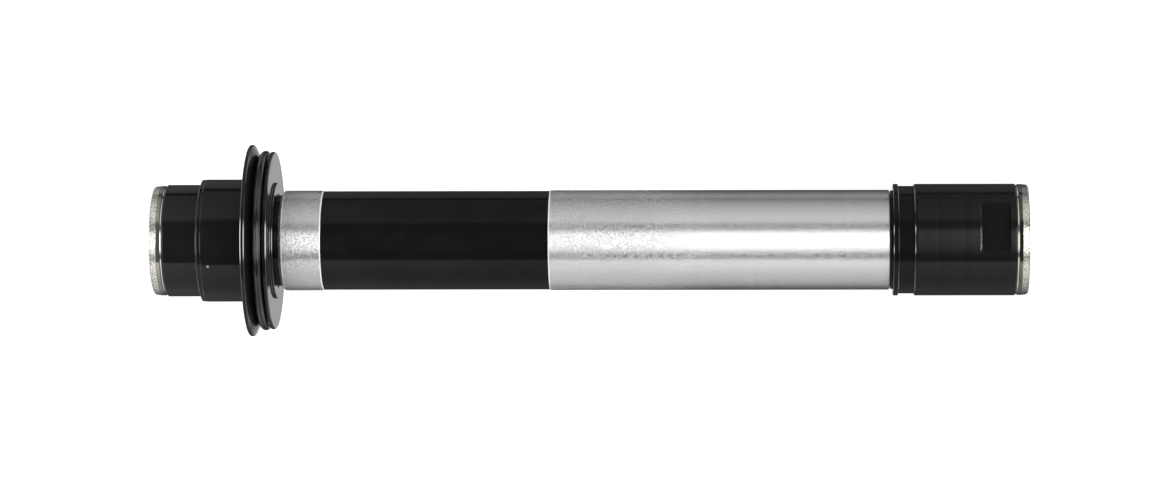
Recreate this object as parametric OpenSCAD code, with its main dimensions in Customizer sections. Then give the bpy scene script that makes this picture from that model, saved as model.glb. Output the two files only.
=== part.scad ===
// Rear hub axle for a wheel that a 12 mm bolt holds in the frame.
// It stands on its brake-side end: +Z runs from the brake side to the drive side.

/* [Whole axle] */
// Width over the two end faces
hub_width = 148; // [120:0.5:160]
// Diameter of the hole that the wheel's bolt slides through
bore_d = 12.1; // [11.6:0.05:12.6]

/* [Axle tube] */
// Diameter of the two bare bearing seats
seat_d = 17; // [16.8:0.05:18]
// Diameter of the anodised waist between the seats
waist_d = 16.8; // [16.2:0.05:16.95]
// Diameter of the spigots that the caps fit over
spigot_d = 15.4; // [14.8:0.05:15.8]
// Length of the brake-side bearing seat
brake_seat_len = 7.15; // [5:0.05:12]
// Length of the anodised waist
waist_len = 38.3; // [10:0.1:45]
// Length of the lead-in taper at the brake-side seat
seat_lead_len = 0.45; // [0.2:0.05:0.8]
// Chamfer of the seats' outer ends
seat_edge = 0.12; // [0.05:0.01:0.3]

/* [Caps] */
// Diameter of the cap ends that sit in the frame
cap_end_d = 19; // [18.4:0.1:20]
// Gap between a cap's bore and the tube's spigot, on the radius
socket_gap = 0.05; // [0.02:0.01:0.15]
// Thickness of the web between the tube's end and the end ring
cap_web = 1.5; // [1:0.1:3]
// Chamfer of a cap's outer end
cap_end_chamfer = 0.24; // [0.1:0.02:0.4]
// Chamfer of a cap's mouth
mouth_chamfer = 0.25; // [0.1:0.05:0.4]

/* [Brake-side cap] */
// Length of the outer sleeve
outer_sleeve_len = 6; // [4:0.1:10]
// Diameter of the inner sleeve
inner_sleeve_d = 20.8; // [20.4:0.1:23]
// Length of the inner sleeve
inner_sleeve_len = 8.05; // [4:0.05:14]
// Diameter of the dust flange
dust_flange_d = 32.56; // [31.6:0.02:36]
// Width of the dust flange's rim
dust_rim_w = 0.7; // [0.4:0.05:1.2]
// Length of the bevel behind the dust flange's rim
dust_bevel_len = 1.1; // [0.6:0.05:2]
// Width of the flat floor of the seal groove
seal_floor_w = 1.8; // [1.4:0.05:3]
// Thickness of the flange that plugs the bearing's housing
plug_flange_w = 0.65; // [0.4:0.05:1.5]
// Diameter of the flange that plugs the bearing's housing
plug_flange_d = 30.2; // [29.6:0.1:31]
// Chamfer of that flange's outer edge
plug_edge = 0.2; // [0.1:0.05:0.3]
// Diameter of the boss that bears on the inner race
boss_d = 19.7; // [19:0.1:22]
// Height of the boss
boss_h = 0.4; // [0.2:0.05:1]
// Gap between the boss and the bearing seat
boss_gap = 0.75; // [0.3:0.05:2]
// Radius of the fillet at the dust flange's foot
flange_fillet = 0.6; // [0.2:0.1:1.2]
// Radius of the fillet at the step between the sleeves
step_fillet = 0.3; // [0.1:0.05:0.4]
// Radius of the inner sleeve's outer edge
step_round = 0.1; // [0.05:0.05:0.4]
// Length of the slightly lower lead at the inner sleeve's outer end
sleeve_lead_len = 0.6; // [0.4:0.05:1]
// Depth of that lead
sleeve_lead_depth = 0.04; // [0.02:0.01:0.1]

/* [Seals] */
// Thickness of the rubber ring between the flanges
seal_wire = 1.5; // [1.2:0.05:1.5]
// How far that ring stands out past the plug flange
seal_stand = 0.18; // [0.05:0.01:0.4]
// Gap between that ring and the plug flange
seal_side_gap = 0.25; // [0.02:0.01:0.4]
// Thickness of the small rubber rings on the spigots
grip_wire = 0.9; // [0.7:0.05:1]
// Gap between a rubber ring and its groove
seal_gap = 0.02; // [0.01:0.01:0.05]
// Distance from the tube's brake-side end to the first grip ring
grip_inset = 3; // [2:0.1:4]
// Distance between the two grip rings
grip_pitch = 5; // [3:0.1:7]
// Distance from the drive-side shoulder to the seal ring
drive_seal_inset = 3; // [2:0.1:5]

/* [Drive-side cap] */
// Length of the drive-side cap
drive_cap_len = 21.4; // [19:0.05:26]
// Diameter of the nose in front of the lip
nose_d = 16.8; // [16.6:0.1:17]
// Length of the nose
nose_len = 0.5; // [0.2:0.05:1]
// Chamfer of the nose
nose_chamfer = 0.12; // [0.05:0.01:0.15]
// Width of the thin lip at the inner end
lip_w = 0.9; // [0.4:0.05:1.5]
// Diameter of the neck behind the lip
neck_d = 18.32; // [17.8:0.02:18.35]
// Length of the neck
neck_len = 2.65; // [1.5:0.05:4]
// Chamfer at the inner end of the round body
body_edge = 0.18; // [0.05:0.01:0.3]
// Gap between the tube's shoulder and the cap
shoulder_gap = 0.1; // [0.05:0.05:0.5]
// Distance across the two wrench flats
flats_across = 17; // [16.6:0.1:18]
// Width of the wrench flats along the axle
flats_w = 4.85; // [3:0.05:8]
// Distance from the wrench flats to the cap's outer end
flats_to_end = 1.2; // [0.8:0.05:3]
// Turn of the wrench flats about the axle
flats_turn = -13.9; // [-90:0.1:90]
// Chamfer where the wrench flats meet the cap's body
flats_edge = 0.3; // [0.1:0.05:0.6]

/* [End rings] */
// Diameter of the brake-side ring
brake_ring_d = 18.62; // [18:0.02:18.8]
// Height of the brake-side ring's head
brake_ring_h = 2.05; // [1.6:0.05:3]
// Diameter of the drive-side ring
drive_ring_d = 18.9; // [18:0.02:18.9]
// Height of the drive-side ring's head
drive_ring_h = 2; // [1.6:0.05:3]
// Diameter of the press spigot on a ring
ring_spigot_d = 14.8; // [14:0.1:15.4]
// Length of the press spigot on a ring
ring_spigot_len = 2.5; // [1.5:0.1:4]
// Gap that a press fit is drawn with, on the radius
press_gap = 0.01; // [0.005:0.005:0.03]
// Chamfer at the mouth of a ring's bore
ring_mouth = 0.5; // [0.2:0.05:0.8]
// Length of the tapered band on a ring's rim
rim_taper_len = 1.1; // [0.8:0.05:1.3]
// Drop of the tapered band on a ring's rim
rim_taper_h = 0.13; // [0.05:0.01:0.3]
// Length of the chamfer at the back edge of a ring's rim
rim_back_len = 0.3; // [0.1:0.05:0.4]
// Drop of that chamfer
rim_back_h = 0.15; // [0.05:0.01:0.25]
// Number of serrations on a ring's end face
tooth_count = 80; // [40:1:90]
// Width of a serration at the end face
tooth_w = 0.44; // [0.3:0.02:0.46]
// Depth of a serration
tooth_depth = 0.3; // [0.1:0.05:0.5]
// Width of the plain land inside the serrations
tooth_land = 0.9; // [0.6:0.1:1.2]

/* [Hidden] */
$fn = 128;

// Radii that several pieces share
bore_r = bore_d / 2;
spigot_r = spigot_d / 2;
socket_r = spigot_r + socket_gap;
cap_end_r = cap_end_d / 2;
ring_seat_r = ring_spigot_d / 2 + press_gap;

// Heights along the brake-side cap, from the standing end up
brake_cap_z = brake_ring_h;
brake_web_z = brake_cap_z + ring_spigot_len;
tube_low_z = brake_web_z + cap_web;
step_z = brake_cap_z + outer_sleeve_len;
flange_z = step_z + inner_sleeve_len;
rim_top_z = flange_z + dust_rim_w;
groove_z = rim_top_z + dust_bevel_len;
plug_z = groove_z + seal_floor_w;
plug_face_z = plug_z + plug_flange_w;
boss_z = plug_face_z + boss_h;

// Heights along the drive-side cap, from the top end down
drive_cap_top_z = hub_width - drive_ring_h;
drive_web_z = drive_cap_top_z - ring_spigot_len;
tube_top_z = drive_web_z - cap_web;
drive_cap_z = drive_cap_top_z - drive_cap_len;
lip_z = drive_cap_z + nose_len;
neck_z = lip_z + lip_w;
body_z = neck_z + neck_len;

// Heights along the tube
brake_seat_z = boss_z + boss_gap;
waist_z = brake_seat_z + brake_seat_len;
drive_seat_z = waist_z + waist_len;
shoulder_z = drive_cap_z - shoulder_gap;

// Seal groove and spigot grooves
seal_floor_r = plug_flange_d / 2 + seal_stand - seal_wire - seal_gap;
grip_floor_r = socket_r - grip_wire - 2 * seal_gap;
grip_groove_w = grip_wire + 0.3;
small_edge = 0.1;
arc_steps = 5;

// Points of an arc, from one angle to another
function arc(centre, r, from, to) =
    [for (i = [0:arc_steps]) let (a = from + (to - from) * i / arc_steps)
        [centre[0] + r * cos(a), centre[1] + r * sin(a)]];

// Points of a square groove round a spigot
function spigot_groove(z) = [
    [spigot_r, z - grip_groove_w / 2], [grip_floor_r, z - grip_groove_w / 2],
    [grip_floor_r, z + grip_groove_w / 2], [spigot_r, z + grip_groove_w / 2]];

// A rubber ring with a round section
module round_ring(centre_r, wire, z) {
    translate([0, 0, z])
        rotate_extrude() translate([centre_r, 0]) circle(d = wire, $fn = 32);
}

// The small rings stand on the floor of a spigot groove
module spigot_ring(z) {
    color("#1c1c1c") round_ring(grip_floor_r + seal_gap + grip_wire / 2, grip_wire, z);
}

module axle_tube() {
    seat_r = seat_d / 2;
    waist_r = waist_d / 2;
    seat_step = seat_r - waist_r;
    end_chamfer = 0.3;
    profile = concat(
        [[bore_r, tube_low_z], [spigot_r - end_chamfer, tube_low_z], [spigot_r, tube_low_z + end_chamfer]],
        spigot_groove(tube_low_z + grip_inset),
        spigot_groove(tube_low_z + grip_inset + grip_pitch),
        [[spigot_r, brake_seat_z], [seat_r - seat_edge, brake_seat_z + seat_lead_len],
            [seat_r, brake_seat_z + seat_lead_len + seat_edge],
            [seat_r, waist_z - seat_step], [waist_r, waist_z],
            [waist_r, drive_seat_z], [seat_r, drive_seat_z + seat_step],
            [seat_r, shoulder_z - seat_edge], [seat_r - seat_edge, shoulder_z], [spigot_r, shoulder_z]],
        spigot_groove(shoulder_z + drive_seal_inset),
        [[spigot_r, tube_top_z - end_chamfer], [spigot_r - end_chamfer, tube_top_z], [bore_r, tube_top_z]]);
    color("silver") rotate_extrude() polygon(profile);
}

module brake_side_cap() {
    inner_sleeve_r = inner_sleeve_d / 2;
    dust_r = dust_flange_d / 2;
    plug_r = plug_flange_d / 2;
    boss_r = boss_d / 2;
    rim_edge = 0.15;
    foot_fillet = 0.12;
    lead_r = inner_sleeve_r - sleeve_lead_depth;
    lead_end_z = step_z + sleeve_lead_len;
    lead_ramp_len = 0.12;
    profile = concat(
        [[ring_seat_r, brake_cap_z], [cap_end_r - cap_end_chamfer, brake_cap_z],
            [cap_end_r, brake_cap_z + cap_end_chamfer]],
        arc([cap_end_r + step_fillet, step_z - step_fillet], step_fillet, 180, 90),
        arc([lead_r - step_round, step_z + step_round], step_round, -90, 0),
        [[lead_r, lead_end_z], [inner_sleeve_r, lead_end_z + lead_ramp_len]],
        arc([inner_sleeve_r + flange_fillet, flange_z - flange_fillet], flange_fillet, 180, 90),
        [[dust_r - rim_edge, flange_z], [dust_r, flange_z + rim_edge],
            [dust_r, rim_top_z - rim_edge], [dust_r - rim_edge, rim_top_z],
            [seal_floor_r, groove_z], [seal_floor_r, plug_z], [plug_r - small_edge, plug_z],
            [plug_r, plug_z + small_edge], [plug_r, plug_face_z - plug_edge],
            [plug_r - plug_edge, plug_face_z]],
        arc([boss_r + foot_fillet, plug_face_z + foot_fillet], foot_fillet, -90, -180),
        [[boss_r, boss_z - small_edge], [boss_r - small_edge, boss_z],
            [socket_r + mouth_chamfer, boss_z], [socket_r, boss_z - mouth_chamfer],
            [socket_r, tube_low_z], [bore_r, tube_low_z], [bore_r, brake_web_z], [ring_seat_r, brake_web_z]]);
    color("#1a1a1a") rotate_extrude() polygon(profile);
}

module flange_seal_ring() {
    color("#101010")
        round_ring(seal_floor_r + seal_gap + seal_wire / 2, seal_wire, plug_z - seal_side_gap - seal_wire / 2);
}

module cap_grip_ring_outer() {
    spigot_ring(tube_low_z + grip_inset);
}

module cap_grip_ring_inner() {
    spigot_ring(tube_low_z + grip_inset + grip_pitch);
}

module drive_cap_seal_ring() {
    spigot_ring(shoulder_z + drive_seal_inset);
}

// The two flats that a cone wrench grips, as the metal they take away
module wrench_flats(z) {
    out_r = cap_end_r + 1;
    rotate([0, 0, flats_turn])
        for (side = [0, 180])
            rotate([0, 0, side]) {
                translate([-cap_end_r, -out_r, z])
                    cube([cap_end_d, out_r - flats_across / 2, flats_w]);
                intersection() {
                    translate([-cap_end_r, -out_r, z - flats_edge])
                        cube([cap_end_d, out_r - flats_across / 2, flats_edge]);
                    rotate_extrude()
                        polygon([[cap_end_r - flats_edge, z], [out_r, z], [out_r, z - flats_edge - 1]]);
                }
            }
}

module drive_side_cap() {
    nose_r = nose_d / 2;
    neck_r = neck_d / 2;
    lip_r = cap_end_r;
    lip_fillet = 0.1;
    profile = concat(
        [[socket_r + mouth_chamfer, drive_cap_z], [nose_r - nose_chamfer, drive_cap_z],
            [nose_r, drive_cap_z + nose_chamfer], [nose_r, lip_z],
            [lip_r - small_edge, lip_z], [lip_r, lip_z + small_edge],
            [lip_r, neck_z - small_edge], [lip_r - small_edge, neck_z]],
        arc([neck_r + lip_fillet, neck_z + lip_fillet], lip_fillet, -90, -180),
        [[neck_r, body_z], [cap_end_r - body_edge, body_z], [cap_end_r, body_z + body_edge],
            [cap_end_r, drive_cap_top_z - cap_end_chamfer], [cap_end_r - cap_end_chamfer, drive_cap_top_z],
            [ring_seat_r, drive_cap_top_z], [ring_seat_r, drive_web_z], [bore_r, drive_web_z],
            [bore_r, tube_top_z], [socket_r, tube_top_z], [socket_r, drive_cap_z + mouth_chamfer]]);
    color("#1a1a1a") difference() {
        rotate_extrude() polygon(profile);
        wrench_flats(drive_cap_top_z - flats_to_end - flats_w);
    }
}

// A steel end ring with its serrated face down and its press spigot up
module end_ring(ring_d, head_h) {
    ring_r = ring_d / 2;
    face_r = ring_r - rim_taper_h;
    spigot_chamfer = 0.2;
    teeth_from_r = bore_r + ring_mouth + tooth_land;
    difference() {
        rotate_extrude() polygon([
            [bore_r, ring_mouth], [bore_r + ring_mouth, 0], [face_r - small_edge, 0], [face_r, small_edge],
            [ring_r, rim_taper_len], [ring_r, head_h - rim_back_len],
            [ring_r - rim_back_h, head_h], [ring_spigot_d / 2, head_h],
            [ring_spigot_d / 2, head_h + ring_spigot_len - spigot_chamfer],
            [ring_spigot_d / 2 - spigot_chamfer, head_h + ring_spigot_len],
            [bore_r, head_h + ring_spigot_len]]);
        for (i = [0:tooth_count - 1])
            rotate([0, 0, i * 360 / tooth_count])
                translate([teeth_from_r, 0, 0])
                    rotate([90, 0, 90])
                        linear_extrude(ring_r)
                            polygon([[-tooth_w, -tooth_depth], [tooth_w, -tooth_depth], [0, tooth_depth]]);
    }
}

module brake_side_end_ring() {
    color("#b9b6ab") end_ring(brake_ring_d, brake_ring_h);
}

module drive_side_end_ring() {
    color("#b9b6ab") translate([0, 0, hub_width]) mirror([0, 0, 1]) end_ring(drive_ring_d, drive_ring_h);
}

axle_tube();
brake_side_cap();
flange_seal_ring();
brake_side_end_ring();
cap_grip_ring_outer();
cap_grip_ring_inner();
drive_side_cap();
drive_side_end_ring();
drive_cap_seal_ring();
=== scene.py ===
"""Finishes, studio light and camera for a rear hub axle with its end caps, end rings and seals."""

import math

import bpy
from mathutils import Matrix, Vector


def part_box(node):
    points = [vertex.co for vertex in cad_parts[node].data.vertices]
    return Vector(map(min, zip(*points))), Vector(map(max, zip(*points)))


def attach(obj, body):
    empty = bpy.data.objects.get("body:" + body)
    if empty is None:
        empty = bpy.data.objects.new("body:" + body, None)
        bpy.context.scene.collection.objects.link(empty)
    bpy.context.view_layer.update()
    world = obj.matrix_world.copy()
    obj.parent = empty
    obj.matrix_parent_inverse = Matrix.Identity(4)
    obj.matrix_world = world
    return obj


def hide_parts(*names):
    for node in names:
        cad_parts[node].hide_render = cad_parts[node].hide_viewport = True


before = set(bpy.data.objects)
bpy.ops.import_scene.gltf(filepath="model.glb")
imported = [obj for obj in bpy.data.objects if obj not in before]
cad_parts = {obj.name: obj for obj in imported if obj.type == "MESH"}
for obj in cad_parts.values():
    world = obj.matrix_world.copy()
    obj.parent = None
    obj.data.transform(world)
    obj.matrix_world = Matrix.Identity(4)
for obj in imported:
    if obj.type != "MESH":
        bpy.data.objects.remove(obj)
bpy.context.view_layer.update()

# Axle tube
# One tube turned from aluminium bar. Its waist, bore and both spigots are anodised black, and the two
# bearing seats are ground bare afterwards, so fine rings run round them. Each seat edge has a painted
# highlight: a narrow band of near-white, less metallic colour.

mm = 0.001
# Heights above the brake-side end, in millimetres: the bare seats, the seat edges that get a painted
# highlight, and the end of the pits
brake_seat = (21.5, 28.655)
drive_seat = (66.945, 124.51)
highlight_edges = (22.05, 28.57, 67.03)
pits_fade = (80, 96)
bore_wall_r = 6.3
edge_highlight_w = 0.08
edge_highlight_soft = 0.06
edge_highlight_metallic = 0.3
bare_aluminium = (0.83, 0.83, 0.825, 1)
worn_aluminium = (0.74, 0.74, 0.735, 1)
painted_highlight_white = (0.95, 0.95, 0.95, 1)
anodising_black = (0.0042, 0.0040, 0.0041, 1)
anodised_roughness = (0.07, 0.12)
ground_roughness = (0.25, 0.36)
pit_roughness = 0.25
# Grain above the first level begins a pit, and above the second it is a full one
pit_levels = (0.52, 0.58)
pits_left = 0.1
# Shares of the relief's depth that the turned rings, the grain, the pits and the anodising keep
ring_relief = 0.02
grain_relief = 0.15
pit_relief = 0.75
anodised_relief = 0.03
relief_depth = 0.07
brushed_blur = 0.95
across_the_rings = 0.25
speckless_cells = 0.95
smear_levels = (0.35, 0.75)


def put(tree, kind, inputs=None, **settings):
    """Adds a node with its settings and inputs, where an input that is a socket is linked."""
    node = tree.nodes.new(kind)
    for name, value in settings.items():
        setattr(node, name, value)
    for key, value in (inputs or {}).items():
        if isinstance(value, bpy.types.NodeSocket):
            tree.links.new(value, node.inputs[key])
        else:
            node.inputs[key].default_value = value
    return node


def calc(tree, operation, *values):
    """A Math node's result."""
    return put(tree, "ShaderNodeMath", dict(enumerate(values)), operation=operation).outputs[0]


def fade(tree, value, low, high, at_low=0.0, at_high=1.0):
    """A smooth step of a value, from at_low at low to at_high at high."""
    return put(tree, "ShaderNodeMapRange",
               {"Value": value, "From Min": low, "From Max": high, "To Min": at_low, "To Max": at_high},
               interpolation_type="SMOOTHSTEP").outputs["Result"]


def distance_from(tree, value, place):
    """How far a value is from a place, on either side."""
    return calc(tree, "ABSOLUTE", calc(tree, "SUBTRACT", value, place))


def between(tree, value, low, high):
    """One where a value is between two places, and nought elsewhere."""
    above = calc(tree, "GREATER_THAN", value, low)
    return calc(tree, "MULTIPLY", above, calc(tree, "LESS_THAN", value, high))


def mix_colour(tree, share, first, second):
    """A colour between two, by a share from 0 to 1."""
    return put(tree, "ShaderNodeMix", {0: share, 6: first, 7: second}, data_type="RGBA").outputs[2]


def mix_value(tree, share, first, second):
    """A value between two, by a share from 0 to 1."""
    return put(tree, "ShaderNodeMix", {0: share, 2: first, 3: second}).outputs[0]


def place_in_mm(tree):
    """The point's place, its height and its distance from the axle's centre line, in millimetres."""
    place = put(tree, "ShaderNodeTexCoord").outputs["Object"]
    scaled = put(tree, "ShaderNodeVectorMath", {0: place, "Scale": 1 / mm}, operation="SCALE").outputs[0]
    xyz = put(tree, "ShaderNodeSeparateXYZ", {0: scaled})
    across = calc(tree, "SQRT", calc(tree, "ADD",
                  calc(tree, "MULTIPLY", xyz.outputs[0], xyz.outputs[0]),
                  calc(tree, "MULTIPLY", xyz.outputs[1], xyz.outputs[1])))
    return scaled, xyz.outputs[2], across


def group(name, inputs, outputs):
    """An empty shader node group with float sockets, and its input and output nodes."""
    tree = bpy.data.node_groups.new(name, "ShaderNodeTree")
    for label, value in inputs.items():
        tree.interface.new_socket(label, in_out="INPUT", socket_type="NodeSocketFloat").default_value = value
    for label in outputs:
        tree.interface.new_socket(label, in_out="OUTPUT", socket_type="NodeSocketFloat")
    return tree, tree.nodes.new("NodeGroupInput"), tree.nodes.new("NodeGroupOutput")


def use(tree, finish_group, values=None):
    """Places a node group in a material with its own values."""
    return put(tree, "ShaderNodeGroup", values, node_tree=finish_group)


# Fine rings that a lathe tool or a grinding wheel leaves: they run round the axle and differ along it
turning_rings, given, made = group("turning_rings", {"Rings per mm": 6.0, "Wander": 0.15},
                                   ["Height", "Streak"])
spot, along, across = place_in_mm(turning_rings)
wander = put(turning_rings, "ShaderNodeTexNoise", {"Vector": spot, "Scale": 0.35, "Detail": 2.0})
shifted = calc(turning_rings, "MULTIPLY_ADD", wander.outputs[0], given.outputs["Wander"], along)
shifted = calc(turning_rings, "ADD", shifted, across)
rings = put(turning_rings, "ShaderNodeTexNoise",
            {"W": calc(turning_rings, "MULTIPLY", shifted, given.outputs["Rings per mm"]),
             "Scale": 1.0, "Detail": 3.0, "Roughness": 0.65}, noise_dimensions="1D")
streak = put(turning_rings, "ShaderNodeTexNoise", {"W": shifted, "Scale": 0.9, "Detail": 4.0},
             noise_dimensions="1D")
turning_rings.links.new(rings.outputs[0], made.inputs["Height"])
turning_rings.links.new(streak.outputs[0], made.inputs["Streak"])

# Handling marks: fine grain, faint smears and a few specks of dust
handling_marks, given, made = group("handling_marks", {"Grain per mm": 3.0, "Speck size": 0.09},
                                    ["Grain", "Smear", "Speck"])
spot = place_in_mm(handling_marks)[0]
grain = put(handling_marks, "ShaderNodeTexNoise",
            {"Vector": spot, "Scale": given.outputs["Grain per mm"], "Detail": 2.0, "Roughness": 0.6})
smear = put(handling_marks, "ShaderNodeTexNoise",
            {"Vector": spot, "Scale": 0.16, "Detail": 3.0, "Distortion": 0.8})
cells = put(handling_marks, "ShaderNodeTexVoronoi", {"Vector": spot, "Scale": 0.45, "Randomness": 1.0})
lone = put(handling_marks, "ShaderNodeSeparateColor", {0: cells.outputs["Color"]})
kept = calc(handling_marks, "GREATER_THAN", lone.outputs[0], speckless_cells)
speck_r = calc(handling_marks, "MULTIPLY", given.outputs["Speck size"], lone.outputs[1])
in_speck = calc(handling_marks, "LESS_THAN", cells.outputs["Distance"], speck_r)
handling_marks.links.new(grain.outputs[0], made.inputs["Grain"])
handling_marks.links.new(fade(handling_marks, smear.outputs[0], *smear_levels), made.inputs["Smear"])
handling_marks.links.new(calc(handling_marks, "MULTIPLY", in_speck, kept), made.inputs["Speck"])


def new_material(name):
    """A material with an empty Principled shader, its tree and that shader."""
    material = bpy.data.materials.new(name)
    material.use_nodes = True
    return material, material.node_tree, material.node_tree.nodes["Principled BSDF"]


def brushed_round(tree, shader):
    """Blurs reflections along the axle, because the rings run round it."""
    tangent = put(tree, "ShaderNodeTangent", direction_type="RADIAL", axis="Z")
    tree.links.new(tangent.outputs[0], shader.inputs["Tangent"])
    shader.inputs["Anisotropic"].default_value = brushed_blur
    shader.inputs["Anisotropic Rotation"].default_value = across_the_rings


def relief_on(tree, shader, height, strength, depth):
    """Gives a shader a bump of a depth in millimetres."""
    bump = put(tree, "ShaderNodeBump", {"Height": height, "Strength": strength, "Distance": depth * mm})
    tree.links.new(bump.outputs[0], shader.inputs["Normal"])


tube_finish, tree, shader = new_material("tube_finish")
spot, along, across = place_in_mm(tree)
marks = use(tree, handling_marks, {"Grain per mm": 3.4})
turned = use(tree, turning_rings)
seats = calc(tree, "ADD", between(tree, along, *brake_seat), between(tree, along, *drive_seat))
bare = calc(tree, "MULTIPLY", seats, calc(tree, "GREATER_THAN", across, bore_wall_r))
# Painted highlight: a narrow band at each seat edge is made near-white and less metallic, so it shows bright
from_highlight_edge = distance_from(tree, along, highlight_edges[0])
for edge in highlight_edges[1:]:
    from_highlight_edge = calc(tree, "MINIMUM", from_highlight_edge, distance_from(tree, along, edge))
painted_edge_highlight = fade(tree, from_highlight_edge, edge_highlight_w, edge_highlight_w + edge_highlight_soft, 1.0, 0.0)
aluminium = mix_colour(tree, marks.outputs["Grain"], worn_aluminium, bare_aluminium)
aluminium = mix_colour(tree, painted_edge_highlight, aluminium, painted_highlight_white)
tree.links.new(mix_colour(tree, bare, anodising_black, aluminium), shader.inputs["Base Color"])
metallic = calc(tree, "MULTIPLY", bare, mix_value(tree, painted_edge_highlight, 1.0, edge_highlight_metallic))
tree.links.new(metallic, shader.inputs["Metallic"])
pits = calc(tree, "MULTIPLY", fade(tree, marks.outputs["Grain"], *pit_levels),
            fade(tree, along, *pits_fade, 1.0, pits_left))
smooth = mix_value(tree, marks.outputs["Smear"], *anodised_roughness)
ground = mix_value(tree, turned.outputs["Streak"], *ground_roughness)
ground = calc(tree, "MULTIPLY_ADD", pits, pit_roughness, ground)
tree.links.new(mix_value(tree, bare, smooth, ground), shader.inputs["Roughness"])
relief = calc(tree, "MULTIPLY", pits, pit_relief)
relief = calc(tree, "MULTIPLY_ADD", marks.outputs["Grain"], grain_relief, relief)
relief = calc(tree, "MULTIPLY_ADD", turned.outputs["Height"], ring_relief, relief)
relief = calc(tree, "MULTIPLY", relief, mix_value(tree, bare, anodised_relief, 1.0))
relief_on(tree, shader, relief, strength=1.0, depth=relief_depth)
brushed_round(tree, shader)
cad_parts["axle_tube"].material_slots[0].material = tube_finish

# Seal rings
# Moulded rubber rings: one between the two flanges of the brake-side cap and three small ones on the tube's
# spigots. Each has the fine parting line of its mould round its outer and inner edge.

rubber_black = (0.006, 0.006, 0.006, 1)
rubber_smeared = (0.02, 0.02, 0.02, 1)
rubber_roughness = (0.06, 0.12)
dust_grey = (0.3, 0.3, 0.29, 1)
ring_steps = 192
wire_steps = 32
parting_line_w = 0.12
parting_line_h = 0.008
on_the_edge = 0.004
near_the_edge = 0.02


def select_near(obj, radius, height, slack):
    """Selects the vertices at a distance from the axle's centre line and a height, in millimetres."""
    bpy.ops.mesh.select_all(action="DESELECT")
    bpy.ops.object.mode_set(mode="OBJECT")
    for v in obj.data.vertices:
        v.select = (abs(math.hypot(v.co.x, v.co.y) / mm - radius) < slack
                    and abs(v.co.z / mm - height) < slack)
    bpy.ops.object.mode_set(mode="EDIT")


def rubber_ring(name, node):
    """A round rubber ring in the place of a CAD node, with a mould line."""
    low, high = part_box(node)
    wire_r = (high.z - low.z) / 2 - 0.5 * parting_line_h * mm
    centre_r = high.x - (high.z - low.z) / 2
    middle = (low.z + high.z) / 2
    bpy.ops.object.select_all(action="DESELECT")
    bpy.ops.mesh.primitive_torus_add(major_radius=centre_r, minor_radius=wire_r, major_segments=ring_steps,
                                     minor_segments=wire_steps, location=(0, 0, middle))
    ring = bpy.context.object
    ring.name = ring.data.name = name
    bpy.ops.object.transform_apply(location=True, rotation=True, scale=True)
    bpy.ops.object.mode_set(mode="EDIT")
    bpy.ops.mesh.select_mode(type="VERT")
    for side in (1, -1):
        edge_r = (centre_r + side * wire_r) / mm
        select_near(ring, edge_r, middle / mm, on_the_edge)
        bpy.ops.mesh.bevel(offset=parting_line_w * mm / 2, segments=2, profile=0.5)
        select_near(ring, edge_r, middle / mm, near_the_edge)
        stretch = 1 + side * parting_line_h / edge_r
        bpy.ops.transform.resize(value=(stretch, stretch, 1), center_override=(0, 0, middle))
    bpy.ops.object.mode_set(mode="OBJECT")
    bpy.ops.object.shade_smooth()
    ring.data.materials.append(seal_rubber)
    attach(ring, "root")
    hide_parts(node)


seal_rubber, tree, shader = new_material("seal_rubber")
marks = use(tree, handling_marks, {"Grain per mm": 7.0, "Speck size": 0.1})
rubber = mix_colour(tree, marks.outputs["Smear"], rubber_black, rubber_smeared)
tree.links.new(mix_colour(tree, marks.outputs["Speck"], rubber, dust_grey), shader.inputs["Base Color"])
tree.links.new(mix_value(tree, marks.outputs["Grain"], *rubber_roughness), shader.inputs["Roughness"])
relief_on(tree, shader, marks.outputs["Grain"], strength=0.2, depth=0.02)

rubber_ring("flange_seal", "flange_seal_ring")
rubber_ring("outer_grip_seal", "cap_grip_ring_outer")
rubber_ring("inner_grip_seal", "cap_grip_ring_inner")
rubber_ring("drive_cap_seal", "drive_cap_seal_ring")

# Brake-side cap
# Turned in one piece from aluminium and anodised gloss black. It pulls off by hand, and its two flanges keep
# dirt out of the bearing. The sleeves are polished, and only the edge beside the end ring is duller.

brake_end_edge = (0.0, 2.35)
brake_end_roughness = 0.4
brake_cap_dust = (4.38, -9.44, 9.95)
dust_size = (0.17, 0.25)
dust_roughness = 0.6
anodising_streak = (0.0065, 0.006, 0.006, 1)
cap_polish = (0.06, 0.09)
turned_spread = 0.02
polished_relief = 0.3


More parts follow.
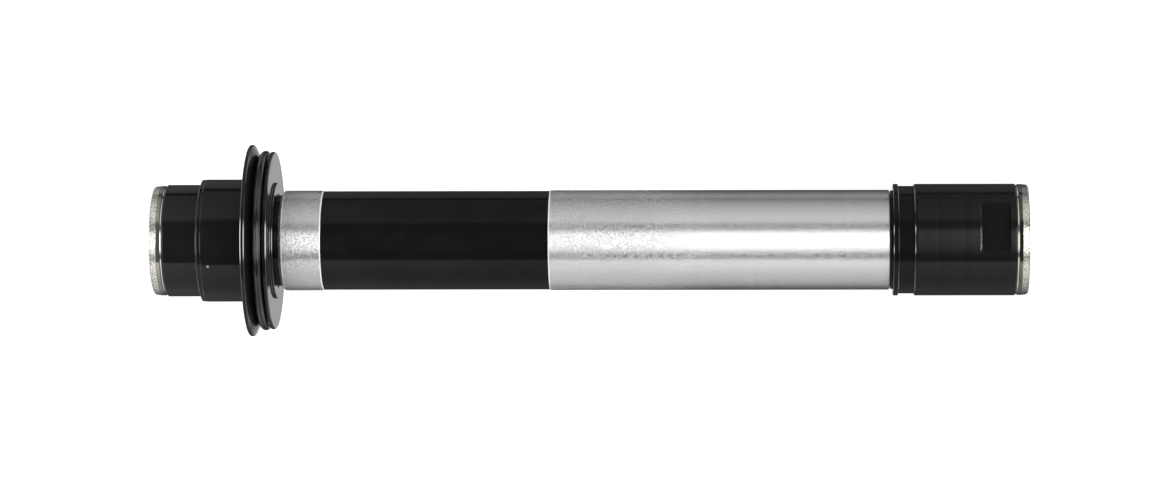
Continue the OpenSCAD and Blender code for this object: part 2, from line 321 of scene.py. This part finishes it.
def black_anodising(name, turned_zone, turned_roughness, dust_at=None):
    """Gloss black anodising, duller and with lathe rings between two heights, and with a grain of dust."""
    material, tree, shader = new_material(name)
    spot, along, _ = place_in_mm(tree)
    marks = use(tree, handling_marks)
    turned = use(tree, turning_rings)
    dust = marks.outputs["Speck"]
    if dust_at:
        away = put(tree, "ShaderNodeVectorMath", {0: spot, 1: dust_at}, operation="DISTANCE").outputs["Value"]
        dust = calc(tree, "MAXIMUM", dust, fade(tree, away, *dust_size, 1.0, 0.0))
    black = mix_colour(tree, turned.outputs["Streak"], anodising_black, anodising_streak)
    tree.links.new(mix_colour(tree, dust, black, dust_grey), shader.inputs["Base Color"])
    in_zone = between(tree, along, *turned_zone)
    polished = mix_value(tree, marks.outputs["Smear"], *cap_polish)
    dull = mix_value(tree, turned.outputs["Streak"], turned_roughness - turned_spread,
                     turned_roughness + turned_spread)
    gloss = mix_value(tree, in_zone, polished, dull)
    tree.links.new(mix_value(tree, dust, gloss, dust_roughness), shader.inputs["Roughness"])
    relief = calc(tree, "MULTIPLY", turned.outputs["Height"], mix_value(tree, in_zone, polished_relief, 1.0))
    relief_on(tree, shader, relief, strength=0.08, depth=0.02)
    brushed_round(tree, shader)
    return material


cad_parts["brake_side_cap"].material_slots[0].material = black_anodising(
    "polished_anodising", brake_end_edge, brake_end_roughness, brake_cap_dust)

# Drive-side cap
# Turned from aluminium like the other cap, but it screws on, so it has two milled flats for a wrench. Its
# round body keeps the lathe's fine rings, and the neck and the lip beside the tube are polished.

drive_body = (129.1, 146.0)
drive_body_roughness = 0.16
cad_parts["drive_side_cap"].material_slots[0].material = black_anodising(
    "turned_anodising", drive_body, drive_body_roughness)

# End rings
# Two turned steel rings, pressed into the caps and nickel plated. Teeth are cut across the outer face, where
# the frame clamps them, and out through its tapered edge, which the cutting left mottled.

axle_len = 148.0
# Distances from the nearer end face, in millimetres
end_shade_line = (0.08, 0.16)
taper_end = (1.1, 1.2)
corner_shade_line = (1.68, 1.83)
nickel_light = (0.72, 0.705, 0.645, 1)
nickel_dark = (0.38, 0.365, 0.32, 1)
nickel_shadow = (0.1, 0.095, 0.08, 1)
blotch_levels = (0.4, 0.56)
plain_share = 0.5
plain_roughness = 0.05
taper_roughness = (0.06, 0.24)
plain_relief = 0.17

nickel_plate, tree, shader = new_material("nickel_plate")
along = place_in_mm(tree)[1]
marks = use(tree, handling_marks, {"Grain per mm": 4.5})
shader.inputs["Metallic"].default_value = 1.0
from_end = calc(tree, "MINIMUM", along, calc(tree, "SUBTRACT", axle_len, along))
# Painted shade: a thin dark line at the toothed outer edge, and a dark band before the rear corner that
# leaves
# only the corner's very edge bright
painted_shade_lines = calc(tree, "ADD", fade(tree, from_end, *end_shade_line, 1.0, 0.0),
                  between(tree, from_end, *corner_shade_line))
in_taper = fade(tree, from_end, *taper_end, 1.0, 0.0)
blotches = fade(tree, marks.outputs["Grain"], *blotch_levels)
nickel = mix_colour(tree, mix_value(tree, in_taper, plain_share, blotches), nickel_dark, nickel_light)
tree.links.new(mix_colour(tree, painted_shade_lines, nickel, nickel_shadow), shader.inputs["Base Color"])
mottled = mix_value(tree, marks.outputs["Grain"], *taper_roughness)
tree.links.new(mix_value(tree, in_taper, plain_roughness, mottled), shader.inputs["Roughness"])
relief = calc(tree, "MULTIPLY", marks.outputs["Grain"], mix_value(tree, in_taper, plain_relief, 1.0))
relief_on(tree, shader, relief, strength=0.6, depth=0.05)
for end_ring in ("brake_side_end_ring", "drive_side_end_ring"):
    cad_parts[end_ring].material_slots[0].material = nickel_plate

# Floor
# A plain pale studio floor of matt paper, which the axle stands on. It glows a little, so that it runs into
# the white around it, and the reflections in the metal don't show it.

floor_size = 6.0
floor_grey = (0.35, 0.35, 0.35, 1)
floor_glow = 0.8
white = (1, 1, 1, 1)
bpy.ops.object.select_all(action="DESELECT")
bpy.ops.mesh.primitive_plane_add(size=floor_size)
floor = bpy.context.object
floor.name = "floor"
floor_paper, tree, shader = new_material("floor_paper")
shader.inputs["Base Color"].default_value = floor_grey
shader.inputs["Roughness"].default_value = 1.0
shader.inputs["Specular IOR Level"].default_value = 0.0
shader.inputs["Emission Color"].default_value = white
shader.inputs["Emission Strength"].default_value = floor_glow
floor.data.materials.append(floor_paper)
floor.visible_glossy = False

# Studio light
# A room that is dark beside the camera and lit on the far side, with a wide soft box beyond either end of
# the axle and a small bright lamp in line with it at each end. The camera itself sees plain white.

# Angles are degrees round the axle from the camera's side, and degrees of lift along the axle. Each wall's
# light goes in straight lines between (angle, brightness) levels.
middle_wall = [(-180, 0.65), (-174, 0.6), (-167, 0.07), (-150, 0.09), (-126, 0.19), (-87, 0.2), (-57, 0.31),
               (-48, 0.3), (-45, 0.03), (39, 0.03), (43, 0.13), (90, 0.11), (130, 0.16), (150, 0.07),
               (167, 0.06), (174, 0.6), (180, 0.65)]
end_walls = [(-180, 0.65), (-172, 0.6), (-164, 0.15), (-150, 0.2), (-126, 0.7), (-87, 1.0), (-56, 1.4),
             (-49, 1.5), (-45, 0.3), (36, 0.35), (41, 0.75), (45, 1.1), (55, 1.1), (90, 0.75), (108, 0.35),
             (125, 0.6), (150, 0.25), (164, 0.15), (172, 0.6), (180, 0.65)]
middle_lift = 0.85
middle_to_ends = (5.25, 14.25)
far_side = (100, 125)
far_side_lift = (18, 34)
far_side_light = 0.7
gap_at = 111.5
gap_edge = (2.0, 5.0)
gap_light = 0.1
soft_boxes = (
    {"side": 1.0, "inner": 8.1, "outer": 50, "slant": 0.2, "near light": 3.3, "far light": 2.9, "top": 21},
    {"side": -1.0, "inner": 11.9, "outer": 61, "slant": 0.0, "near light": 0.8, "far light": 2.0, "top": 17},
)
box_bottom = (-37, -20)
box_top_soft = (5, 7)
box_end_soft = 3
near_to_far = (15, 20)
lamp_edge = (74.0, 80.0)
lamp_light = 14.0
shade_side = (60, 85)
shade_end = (-85, -83)
backdrop_light = 1.1


def wall_light(tree, angle, levels):
    """Brightness by angle, with straight lines between (angle, brightness) levels."""
    brightest = max(level for place, level in levels)
    at = put(tree, "ShaderNodeMapRange", {"Value": angle, "From Min": -180.0, "From Max": 180.0})
    ramp = put(tree, "ShaderNodeValToRGB", {0: at.outputs["Result"]})
    points = ramp.color_ramp.elements
    for i, (place, level) in enumerate(levels):
        point = points[i] if i < 2 else points.new(1.0)
        point.position = (place + 180) / 360
        point.color = (level / brightest,) * 3 + (1,)
    return calc(tree, "MULTIPLY", ramp.outputs[0], brightest)


room = bpy.data.worlds.new("room")
bpy.context.scene.world = room
room.use_nodes = True
tree = room.node_tree
tree.nodes.clear()
ray = put(tree, "ShaderNodeSeparateXYZ", {0: put(tree, "ShaderNodeTexCoord").outputs["Generated"]})
toward_x = calc(tree, "MULTIPLY", ray.outputs[0], -1.0)
toward_y = calc(tree, "MULTIPLY", ray.outputs[1], -1.0)
around = calc(tree, "DEGREES", calc(tree, "ARCTAN2", toward_x, toward_y))
from_camera = calc(tree, "ABSOLUTE", around)
lift = calc(tree, "DEGREES", calc(tree, "ARCSINE", ray.outputs[2]))
to_the_end = distance_from(tree, lift, middle_lift)

room_light = mix_value(tree, fade(tree, to_the_end, *middle_to_ends), wall_light(tree, around, middle_wall),
                       wall_light(tree, around, end_walls))
behind = calc(tree, "MULTIPLY", fade(tree, from_camera, *far_side),
              fade(tree, to_the_end, *far_side_lift, 0.0, far_side_light))
room_light = calc(tree, "ADD", room_light, behind)
from_gap = distance_from(tree, around, gap_at)
room_light = calc(tree, "MULTIPLY", room_light, fade(tree, from_gap, *gap_edge, gap_light, 1.0))

below_level = calc(tree, "MINIMUM", around, 0.0)
for box in soft_boxes:
    beyond = calc(tree, "MULTIPLY_ADD", below_level, box["slant"], calc(tree, "MULTIPLY", lift, box["side"]))
    top_from = box["top"] - box_top_soft[0]
    top_to = box["top"] + box_top_soft[1]
    height = calc(tree, "MULTIPLY", fade(tree, around, *box_bottom),
                  fade(tree, around, top_from, top_to, 1.0, 0.0))
    width = calc(tree, "MULTIPLY", fade(tree, beyond, box["inner"], box["inner"] + box_end_soft),
                 fade(tree, beyond, box["outer"] - box_end_soft, box["outer"] + box_end_soft, 1.0, 0.0))
    glow = fade(tree, beyond, *near_to_far, box["near light"], box["far light"])
    box_light = calc(tree, "MULTIPLY", calc(tree, "MULTIPLY", height, width), glow)
    room_light = calc(tree, "ADD", box_light, room_light)

# The lower lamp is shaded towards the camera's side. Seen from above, the front of the black cap is then
# light grey and not white.
shade = calc(tree, "MULTIPLY", fade(tree, lift, *shade_end), fade(tree, from_camera, *shade_side, 1.0, 0.0))
shade = calc(tree, "MULTIPLY", shade, calc(tree, "LESS_THAN", lift, 0.0))
lamp = calc(tree, "MULTIPLY", fade(tree, to_the_end, *lamp_edge), calc(tree, "SUBTRACT", 1.0, shade))
room_light = mix_value(tree, lamp, room_light, lamp_light)
seen = put(tree, "ShaderNodeLightPath").outputs["Is Camera Ray"]
strength = mix_value(tree, seen, room_light, backdrop_light)
background = put(tree, "ShaderNodeBackground", {"Color": white, "Strength": strength})
tree.links.new(background.outputs[0], put(tree, "ShaderNodeOutputWorld").inputs[0])

# Camera
# A long lens about 740 mm away, at right angles to the axle. It stands nearer the drive-side end and its
# picture is shifted to match, and it is turned on its side, so that the axle lies across the picture.

picture_w = 1176
optical_centre = 770.0
lens_mm = 133.3
sensor_mm = 36
camera_place = (-0.23, -740, 104.3)
camera_turn = (90, -89.92, 0)
camera_data = bpy.data.cameras.new("camera")
camera_data.lens = lens_mm
camera_data.sensor_width = sensor_mm
camera_data.shift_x = (picture_w / 2 - optical_centre) / picture_w
camera_data.clip_start = 0.01
camera_data.clip_end = 20
camera = bpy.data.objects.new("camera", camera_data)
bpy.context.scene.collection.objects.link(camera)
camera.location = [place * mm for place in camera_place]
camera.rotation_euler = [math.radians(turn) for turn in camera_turn]
bpy.context.scene.camera = camera
bpy.context.scene.view_settings.view_transform = "Standard"
